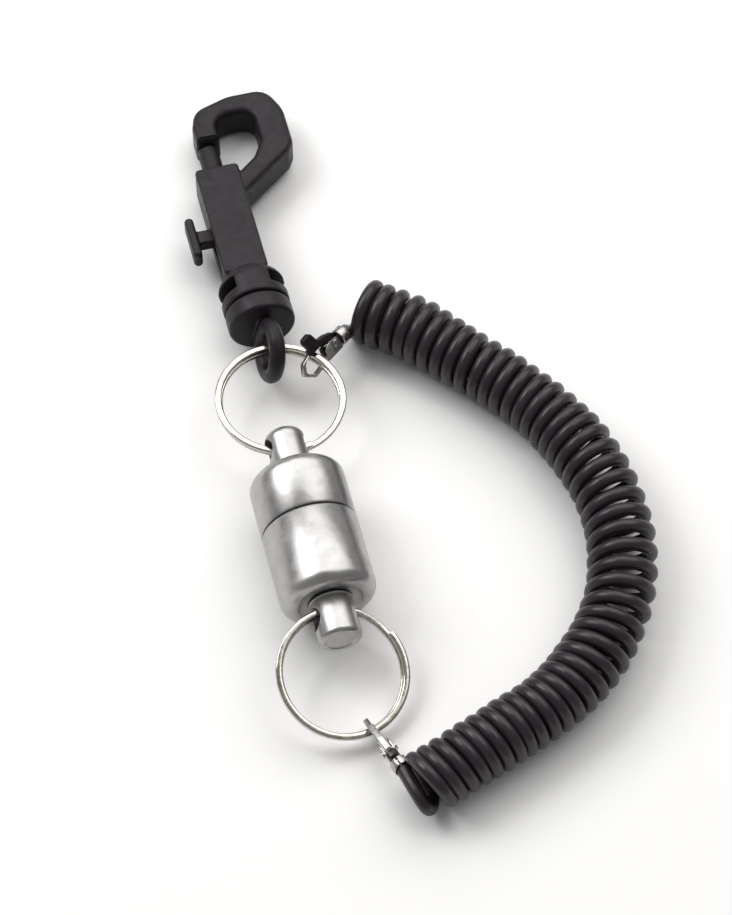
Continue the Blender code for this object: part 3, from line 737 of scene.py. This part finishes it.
def make_inner_parts(prefix, magnet_length, side, body):
    """The magnet, whose face shows when the halves part, and the looks of the CAD plate and nut."""
    radius = MAGNET_RADIUS - 2.0
    start = 0.4
    face = [(0, start), (radius - 0.35, start), *arc((radius - 0.35, start + 0.35), 0.35, 270, 360, 5)]
    end = start + magnet_length
    back = [*arc((radius - 0.35, end - 0.35), 0.35, 0, 90, 5), (0, end)]
    name = prefix + "_magnet_fine"
    magnet = new_object(name, turned_mesh(name, mirrored([*face, *back], side), 128), MAGNET_AXIS)
    show(magnet, "magnet", body, prefix + "_magnet", slot="nickel")
    dress(prefix + "_back_plate", "zinc")
    dress(prefix + "_post_nut", "zinc")


def make_magnet():
    for name, profile, side, body in (
        ("upper_shell", upper_shell_profile(), 1, "upper_half"),
        ("lower_shell", lower_shell_profile(), -1, "lower_half"),
    ):
        mesh = turned_mesh(name + "_fine", mirrored(profile, side), 192, closed=True)
        show(new_object(name + "_fine", mesh, MAGNET_AXIS), "steel", body, name)
    make_post("upper_post", upper_post_profile(), 20.0, 1, "upper_half", 7)
    make_post("lower_post", lower_post_profile(), 21.85, -1, "lower_half", 13)
    make_inner_parts("upper", 5.0, 1, "upper_half")
    make_inner_parts("lower", 8.0, -1, "lower_half")


# ---- split rings -----------------------------------------------------------------------------------------

RING_RADIUS = 13.25
RING_WIRE = (1.5, 1.0)
RING_PITCH = 1.15
RING_SPREAD = 0.13
RING_STEPS = 300
RING_FIRST_ANGLE = 34
RING_LAST_ANGLE = 686


def wire_section(width, height, corner):
    """A flattened wire's section, as (outward, upward) points: round corners and slightly crowned sides."""
    half_width = width / 2
    half_height = height / 2
    points = []
    for x_sign, y_sign, start in ((1, 1, 0), (-1, 1, 90), (-1, -1, 180), (1, -1, 270)):
        centre = (x_sign * (half_width - corner), y_sign * (half_height - corner))
        points.extend(arc(centre, corner, start, start + 90, 4))
    return points


def make_split_ring(name, start, matrix, body, node):
    section = wire_section(*RING_WIRE, 0.42)
    shape = bmesh.new()
    rows = []
    for k in range(RING_STEPS + 1):
        turned = RING_FIRST_ANGLE + (RING_LAST_ANGLE - RING_FIRST_ANGLE) * k / RING_STEPS
        ramp = clamped((turned - 330) / 60)
        rise = RING_PITCH * (ramp * ramp * (3 - 2 * ramp) - 0.5)
        spread = RING_SPREAD * (2 * ramp - 1)
        angle = radians(turned + start)
        trim = 0.88 if k in (0, RING_STEPS) else 1
        row = []
        for out, up in section:
            radius = RING_RADIUS + spread + out * trim
            place = (radius * MM * cos(angle), radius * MM * sin(angle), (rise + up * trim) * MM)
            row.append(shape.verts.new(place))
        rows.append(row)
    count = len(section)
    for low, high in zip(rows, rows[1:]):
        for i in range(count):
            shape.faces.new([low[i], low[(i + 1) % count], high[(i + 1) % count], high[i]])
    shape.faces.new(rows[0])
    shape.faces.new(rows[-1])
    show(new_object(name, to_mesh(name, shape, 50), matrix), "nickel", body, node)


# ---- bolt snap, in its own frame: Y along its axis, Y = 0 at the swivel flange's face --------------------

FLANGE_FACE = 52.6
BELL_RADIUS = 7.45
BOLT_RADIUS = 2.35
BOLT_X = -0.6
BOLT_TRAVEL = 8.0
BOLT_SIDE = Matrix.Translation((BOLT_X * MM, 0, 0))
BOLT_AXIS = SNAP @ BOLT_SIDE
THUMB_Y = 79.3


def snap_y(layout_y):
    return layout_y - FLANGE_FACE


def hook_outline():
    corners = [
        (3.2, 86.4, 0),
        (16.7, 97.0, 1.6),
        (18.2, 99.4, 2.6),
        (18.25, 109.4, 8.0),
        (15.6, 116.0, 4.6),
        (6.5, 116.0, 10.0),
        (-1.6, 113.4, 4.4),
        (-2.95, 109.0, 2.0),
        (-2.95, 104.4, 0.5),
        (2.45, 104.4, 0.4),
        (2.45, 109.6, 2.6),
        (5.6, 110.6, 3.0),
        (11.3, 110.5, 3.0),
        (11.1, 101.4, 3.2),
        (8.6, 97.2, 1.5),
        (3.4, 93.0, 0),
    ]
    return rounded([(x, snap_y(y), radius) for x, y, radius in corners])


def bell_profile():
    """The round socket round the swivel's head and the shoulder that runs into the housing."""
    rim = snap_y(57.5)
    crown = arc((BELL_RADIUS - 3.2, snap_y(62.8)), 3.2, 0, 62, 12)
    lip = arc((BELL_RADIUS - 0.6, rim + 0.6), 0.6, 270, 360, 5)
    return [(0, rim), *lip, *crown, (3.7, snap_y(67.6)), (0, snap_y(67.6))]


def make_snap_body():
    box = [(-5.3, 65.8, 0.9), (4.6, 65.8, 0.9), (4.6, 95.9, 0.9), (-5.3, 95.9, 0.9)]
    housing = prism_mesh("snap_body_fine", rounded([(x, snap_y(y), r) for x, y, r in box]), -4.5, 4.5, 0.7)
    window = [(-9, snap_y(60.1)), (9, snap_y(60.1)), (9, snap_y(63.2)), (-9, snap_y(63.2))]
    room = [(0, 63.4), (5.0, 63.4), (5.0, 60.0), (2.9, 60.0), (2.9, 56.5), (0, 56.5)]
    slot_start = snap_y(THUMB_Y - BOLT_TRAVEL - 2.2)
    slot = [(-7, slot_start), (BOLT_X, slot_start), (BOLT_X, snap_y(81.5)), (-7, snap_y(81.5))]
    tools = [
        (prism_mesh("hook", hook_outline(), -4.2, 4.2, 1.5, steps=5), "UNION", IN_PLACE),
        (turned_mesh("bell", bell_profile(), 96), "UNION", IN_PLACE),
        (rod_mesh("bore", BOLT_RADIUS + 0.25, snap_y(65.2), snap_y(99)), "DIFFERENCE", BOLT_SIDE),
        (prism_mesh("slot", slot, -1.8, 1.8), "DIFFERENCE", IN_PLACE),
        (turned_mesh("room", [(r, snap_y(y)) for r, y in room], 64), "DIFFERENCE", IN_PLACE),
        (prism_mesh("window", window, -3.1, 6.4), "DIFFERENCE", IN_PLACE),
    ]
    made = combined(housing, tools)
    melt(made, 0.2, 8)
    made.data.transform(SNAP)
    show(made, "black_plastic", "snap", "snap_body")


def make_bolt():
    """A rod with a rounded tip and a socket for the thumb piece's stem."""
    tip = snap_y(104.2)
    tail = snap_y(THUMB_Y - 2.4)
    crown = arc((BOLT_RADIUS - 0.8, tip - 0.8), 0.8, 0, 90, 8)
    profile = [(0, tail), (BOLT_RADIUS - 0.3, tail), (BOLT_RADIUS, tail + 0.3), *crown, (0, tip)]
    bolt = turned_mesh("snap_bolt_fine", profile, 64)
    low = snap_y(THUMB_Y - 1.6)
    high = snap_y(THUMB_Y + 1.6)
    socket = prism_mesh("socket", [(-4, low), (0.3, low), (0.3, high), (-4, high)], -1.2, 1.2)
    made = combined(bolt, [(socket, "DIFFERENCE", IN_PLACE)])
    made.data.transform(BOLT_AXIS)
    show(made, "black_plastic", "bolt", "snap_bolt")


def make_thumb_piece():
    centre = snap_y(THUMB_Y)
    stem = [(0.0, centre - 1.3), (0.0, centre + 1.3), (-2.7, centre + 1.3), (-2.7, centre - 1.3)]
    base = prism_mesh("thumb_piece_fine", stem, -0.9, 0.9)
    neck = [(-2.65, centre - 1.8), (-2.65, centre + 1.8), (-8.8, centre + 1.8), (-8.8, centre - 1.8)]
    bar = [(-7.75, centre - 5.5), (-7.75, centre + 5.5), (-9.8, centre + 5.5), (-9.8, centre - 5.5)]
    tools = [
        (prism_mesh("neck", neck, -1.5, 1.5, 0.4), "UNION", IN_PLACE),
        (prism_mesh("bar", rounded([(x, y, 0.95) for x, y in bar]), -2.3, 2.3, 0.9), "UNION", IN_PLACE),
    ]
    made = combined(base, tools)
    melt(made, 0.14, 5)
    made.data.transform(BOLT_AXIS)
    show(made, "black_plastic", "bolt", "thumb_piece")


def make_swivel_eye():
    rim = arc((7.4 - 0.8, 0.8), 0.8, 270, 360, 8)
    back = arc((7.4 - 0.8, 4.6 - 0.8), 0.8, 0, 90, 8)
    neck = [(2.6, 4.6), (2.6, snap_y(60.3)), (4.6, snap_y(60.3)), (4.6, snap_y(62.8)), (0, snap_y(62.8))]
    flange = turned_mesh("swivel_eye_fine", [(0, 0), *rim, *back, *neck], 96)
    lean = radians(13.6)
    loop = [(5.35 + x, y) for x, y in arc((0, 0), 1.8, 0, 345, 23)]
    loop_turn = Matrix.Rotation(lean, 4, "Y") @ Matrix.Rotation(pi / 2, 4, "Z")
    place = Matrix.Translation((0, snap_y(46.0) * MM, 0)) @ loop_turn
    foot = [(-2.9, -1.0, 0.8), (2.9, -1.0, 0.8), (2.9, 0.7, 0.2), (-2.9, 0.7, 0.2)]
    foot_turn = Matrix.Rotation(lean + pi / 2, 4, "Y")
    tools = [
        (turned_mesh("loop", loop, 96, closed=True), "UNION", place),
        (prism_mesh("foot", rounded(foot), -1.5, 1.5, 0.5), "UNION", foot_turn),
    ]
    made = combined(flange, tools)
    melt(made, 0.18, 7)
    made.data.transform(SNAP)
    show(made, "black_plastic", "swivel", "swivel_eye")


def make_bolt_spring():
    start = snap_y(65.8)
    end = snap_y(THUMB_Y - 3.0)
    turns = 5
    steps = 28 * turns
    radius = 1.6
    path = []
    for k in range(steps + 1):
        share = k / steps
        angle = 2 * pi * turns * share
        settled = clamped((share * turns - 0.8) / (turns - 1.6)) * 0.86 + 0.14 * share
        y = (start + (end - start) * settled) * MM
        path.append(BOLT_AXIS @ Vector((radius * MM * cos(angle), y, radius * MM * sin(angle))))
    made = new_object("bolt_spring_fine", tube_mesh("bolt_spring_fine", path, 0.24 * MM, 10))
    show(made, "spring_steel", "snap", "bolt_spring")
    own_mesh(made)


def make_snap():
    make_snap_body()
    make_bolt()
    make_thumb_piece()
    make_swivel_eye()
    make_bolt_spring()


# ---- clasps, each in its own frame: X from the claw to the cord, Z from the web to the lever -------------

PIN_X = 7.4
PIN_Z = 0.6


def clasp_place(joint, cord_end):
    """A clasp's matrix, from its lever's pin and the cord's end, which lies on the clasp's X axis."""
    pin = joint_point(joint)
    y_axis = Vector(JOINTS[joint]["axis"]).normalized()
    span = LAYOUT @ Vector(cord_end) - pin
    rise = -PIN_Z * MM
    run = sqrt(span.length_squared - rise * rise)
    x_axis = (span * run - span.cross(y_axis) * rise).normalized()
    z_axis = x_axis.cross(y_axis)
    turn = Matrix((x_axis, y_axis, z_axis)).transposed().to_4x4()
    to_claw = Matrix.Translation((-PIN_X * MM, 0, -PIN_Z * MM))
    return Matrix.Translation(pin) @ turn @ to_claw, run / MM + PIN_X


def claw_outline():
    """A stamped hook that tapers to a point."""
    corners = [
        (5.2, -1.5, 0.3),
        (3.6, -2.0, 0.8),
        (-0.6, -2.65, 1.4),
        (-3.2, -0.3, 0.7),
        (-1.9, 2.0, 1.0),
        (0.9, 2.7, 0),
        (-1.2, 1.55, 0.7),
        (-2.2, -0.2, 0.7),
        (-0.4, -1.85, 1.0),
        (3.4, -1.3, 0.8),
        (5.2, -0.8, 0.2),
    ]
    return rounded(corners, 5)


def make_clasp_frame(prefix, place, cord_x, body):
    """The hook, a folded channel for the lever, and a barrel crimped round the cord."""
    side = [(4.0, -1.6, 0.3), (4.5, 1.0, 0.6), (6.2, 1.75, 0.8), (8.6, 1.5, 0.6), (9.1, -1.3, 0.5)]
    left = prism_mesh("left", rounded(side, 4), 0.95, 1.3, 0.1, upright=True, steps=2)
    right = prism_mesh("right", rounded(side, 4), -1.3, -0.95, 0.1, upright=True, steps=2)
    web = [(3.9, -1.6), (8.8, -1.6), (8.8, -1.25), (3.9, -1.25)]
    name = prefix + "_clasp_frame_fine"
    tools = [
        (left, "UNION", IN_PLACE),
        (right, "UNION", IN_PLACE),
        (prism_mesh("claw", claw_outline(), -0.55, 0.55, 0.16, upright=True, steps=2), "UNION", IN_PLACE),
    ]
    made = combined(prism_mesh(name, web, -1.3, 1.3, upright=True), tools)
    made.data.transform(place)
    start = cord_x - 0.7
    end = cord_x + 1.5
    mouth = [(1.62, start + 0.15), (1.72, start), (1.95, start + 0.1)]
    back = [(1.98, end - 0.2), (1.85, end), (1.6, end - 0.1)]
    barrel = turned_mesh(prefix + "_crimp", [*mouth, *back], 40, closed=True)
    lying = Matrix.Rotation(-pi / 2, 4, "Z")
    split = [(-0.18, start - 1), (0.18, start - 1), (0.18, end + 1), (-0.18, end + 1)]
    seam = prism_mesh("seam", split, 0.5, 3)
    crimp = combined(barrel, [(seam, "DIFFERENCE", IN_PLACE)], place @ lying)
    crimp.name = prefix + "_crimp"
    return [show(made, "zinc", body, prefix + "_clasp_frame"), show(crimp, "zinc", body)]


def lever_outline(broad):
    """Nose and hub; the broad lever has a thumb lobe that flares at its top."""
    nose = [(0.8, 2.08, 0.15), (0.8, 2.85, 0.25)]
    lobe = [(1.3, 3.3, 0.4), (0.7, 6.2, 0.9), (3.6, 6.4, 0.9), (4.4, 3.7, 0.9), (6.6, 3.3, 0.8)]
    top = lobe if broad else [(5.2, 3.0, 1.0)]
    hub = [(8.7, 2.5, 0.8), (8.6, 0.2, 0.7), (7.7, -0.6, 0.5), (6.6, -0.5, 0.5), (5.6, 2.08, 0.5)]
    return rounded([*nose, *top, *hub], 6)


def make_clasp(prefix, cord_end, broad, lever_look, body):
    place, cord_x = clasp_place(prefix + "_lever_pivot", cord_end)
    pieces = make_clasp_frame(prefix, place, cord_x, body)
    name = prefix + "_clasp_lever_fine"
    lever = prism_mesh(name, lever_outline(broad), -0.72, 0.72, 0.3, upright=True, steps=3)
    made = new_object(name, lever, place)
    pieces.append(show(made, lever_look, prefix + "_lever", prefix + "_clasp_lever"))
    pieces.append(dress(prefix + "_clasp_pin", "zinc"))
    pieces.append(dress(prefix + "_lever_spring", "spring_steel"))
    return pieces


# ---- the whole thing -------------------------------------------------------------------------------------

make_studio()
make_magnet()
make_split_ring("upper_split_ring_fine", -40, UPPER_RING, "upper_ring", "upper_split_ring")
make_split_ring("lower_split_ring_fine", 62, LOWER_RING, "lower_ring", "lower_split_ring")
make_snap()
upper_clasp = make_clasp("upper", UPPER_TAIL[0], True, "black_plastic", "upper_half")
lower_clasp = make_clasp("lower", LOWER_TAIL[-1], False, "zinc", "lower_half")
make_lanyard()

bpy.context.view_layer.update()
